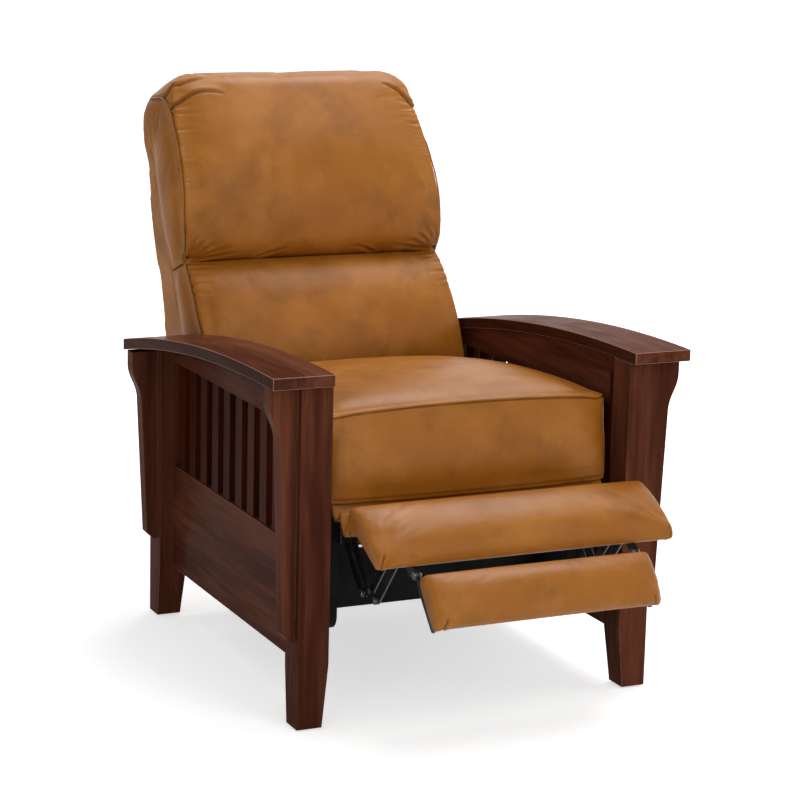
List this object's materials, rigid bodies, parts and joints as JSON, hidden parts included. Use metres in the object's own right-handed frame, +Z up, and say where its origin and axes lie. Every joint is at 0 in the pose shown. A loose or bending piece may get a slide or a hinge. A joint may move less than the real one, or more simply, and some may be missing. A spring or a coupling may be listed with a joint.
{
  "type": "reclining armchair",
  "caption": "Slatted wooden armchair with leather cushions, a back that reclines and a two-pad folding footrest on steel links, shown part open.",
  "frame": {"origin": "on the floor under the centre of the chair's bounding box as pictured", "axes": "+X to the sitter's left as seen from the front, +Y to the back of the chair, +Z up"},
  "size_m": [0.77, 1.2852, 1.0037],
  "materials": {
    "stained_wood": "satin",
    "leather": "satin",
    "black_board": "matte",
    "frame_wood": "matte",
    "webbing": "matte",
    "black_steel": "satin",
    "rivet_steel": "satin",
    "bright_rod": "satin",
    "glide_plastic": "matte"
  },
  "bodies": {
    "frame": {"left_arm": "stained_wood", "right_arm": "stained_wood", "front_left_post": "stained_wood", "front_right_post": "stained_wood", "rear_left_post": "stained_wood", "rear_right_post": "stained_wood", "front_left_corbel": "stained_wood", "front_right_corbel": "stained_wood", "rear_left_corbel": "stained_wood", "rear_right_corbel": "stained_wood", "left_side_panel": "stained_wood", "right_side_panel": "stained_wood", "left_upper_rail": "stained_wood", "right_upper_rail": "stained_wood", "left_slats": "stained_wood", "right_slats": "stained_wood", "foot_glides": "glide_plastic", "rear_stretcher": "stained_wood", "left_base_board": "black_board", "right_base_board": "black_board", "cross_board": "black_board", "base_cleats": "black_board", "seat_rails": "frame_wood", "seat_webbing": "webbing", "seat_cushion": "leather", "left_mechanism_plate": "black_steel", "right_mechanism_plate": "black_steel", "mechanism_screws": "rivet_steel", "base_pivots": "rivet_steel", "leather_apron": "leather"},
    "back_carrier": {"left_back_bracket": "black_steel", "right_back_bracket": "black_steel", "back_cross_tube": "black_steel", "recline_pivots": "rivet_steel"},
    "back": {"left_back_hinge_plate": "black_steel", "right_back_hinge_plate": "black_steel", "back_frame": "frame_wood", "back_webbing": "webbing", "lumbar_cushion": "leather", "headrest_cushion": "leather", "back_shell": "leather"},
    "rear_links": {"left_rear_link": "black_steel", "right_rear_link": "black_steel", "drive_rod": "bright_rod", "knee_pivots": "rivet_steel"},
    "control_links": {"control_links": "black_steel", "control_pivots": "rivet_steel"},
    "front_links": {"left_front_link": "black_steel", "right_front_link": "black_steel"},
    "lift_links": {"lift_links": "black_steel"},
    "footrest": {"footrest_pad": "leather", "footrest_board": "black_board", "left_footrest_bracket": "black_steel", "right_footrest_bracket": "black_steel", "footrest_pivots": "rivet_steel", "flip_pivots": "rivet_steel"},
    "flip_rest": {"flip_pad": "leather", "flip_board": "black_board", "flip_arms": "black_steel"}
  },
  "joints": [
    {"name": "back_tilt", "type": "hinge", "parent": "frame", "child": "back_carrier", "pos_m": [0, 0.24118, 0.372], "axis": [-1, 0, 0], "range_deg": [-8, 2.91]},
    {"name": "back_recline", "type": "hinge", "parent": "back_carrier", "child": "back", "pos_m": [0, 0.27123, 0.39924], "axis": [-1, 0, 0], "range_deg": [0, 17]},
    {"name": "rear_link_turn", "type": "hinge", "parent": "frame", "child": "rear_links", "pos_m": [0, -0.28282, 0.362], "axis": [-1, 0, 0], "range_deg": [-66.05, 24.05]},
    {"name": "control_link_turn", "type": "hinge", "parent": "frame", "child": "control_links", "pos_m": [0, -0.25462, 0.3517], "axis": [-1, 0, 0], "range_deg": [-66.05, 24.05]},
    {"name": "front_link_turn", "type": "hinge", "parent": "rear_links", "child": "front_links", "pos_m": [0, -0.3982, 0.23527], "axis": [-1, 0, 0], "range_deg": [-24.05, 66.05]},
    {"name": "lift_link_turn", "type": "hinge", "parent": "rear_links", "child": "lift_links", "pos_m": [0, -0.4228, 0.22677], "axis": [-1, 0, 0], "range_deg": [-24.05, 66.05]},
    {"name": "footrest_swing", "type": "hinge", "parent": "frame", "child": "footrest", "pos_m": [0, -0.36216, 0.45696], "axis": [-1, 0, 0], "range_deg": [-66.05, 24.05], "deforming": ["leather_apron"]},
    {"name": "flip_turn", "type": "hinge", "parent": "footrest", "child": "flip_rest", "pos_m": [0, -0.55043, 0.30216], "axis": [-1, 0, 0], "range_deg": [-66.05, 24.05]}
  ],
  "couplings": [
    {"joint": "rear_link_turn", "follows": "back_tilt", "ratio": 8.25},
    {"joint": "control_link_turn", "follows": "back_tilt", "ratio": 8.25},
    {"joint": "front_link_turn", "follows": "back_tilt", "ratio": -8.25},
    {"joint": "lift_link_turn", "follows": "back_tilt", "ratio": -8.25},
    {"joint": "footrest_swing", "follows": "back_tilt", "ratio": 8.25},
    {"joint": "flip_turn", "follows": "back_tilt", "ratio": 8.25}
  ]
}
